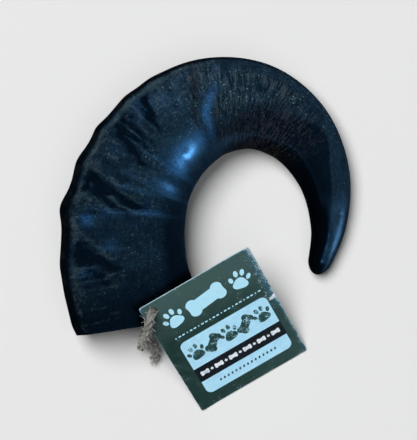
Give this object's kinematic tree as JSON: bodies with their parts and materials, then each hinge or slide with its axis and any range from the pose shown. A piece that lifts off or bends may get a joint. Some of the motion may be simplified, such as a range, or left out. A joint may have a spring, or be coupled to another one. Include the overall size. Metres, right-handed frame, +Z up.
{
  "type": "horn dog chew",
  "caption": "Curled hollow black horn chew with pinched cross wrinkles near its sawn open base, a smooth blunt tip, and a printed card tag tied on with jute twine.",
  "frame": {"origin": "under the middle of the horn and tag, on the surface they lie on", "axes": "+Z up from the surface, +Y from the tag and the saw cut towards the top of the bend, +X from the wrinkled base towards the tip"},
  "size_m": [0.152, 0.1856, 0.0448],
  "materials": {
    "horn": "blue-black polished horn, dusty along the wrinkled crest and rough grey-brown inside",
    "card": "dark green printed card with a pale blue panel, worn at the edges",
    "twine": "loosely laid grey jute with frayed ends"
  },
  "bodies": {
    "root": {"horn": "horn", "tag": "card", "twine": "twine"}
  },
  "joints": []
}
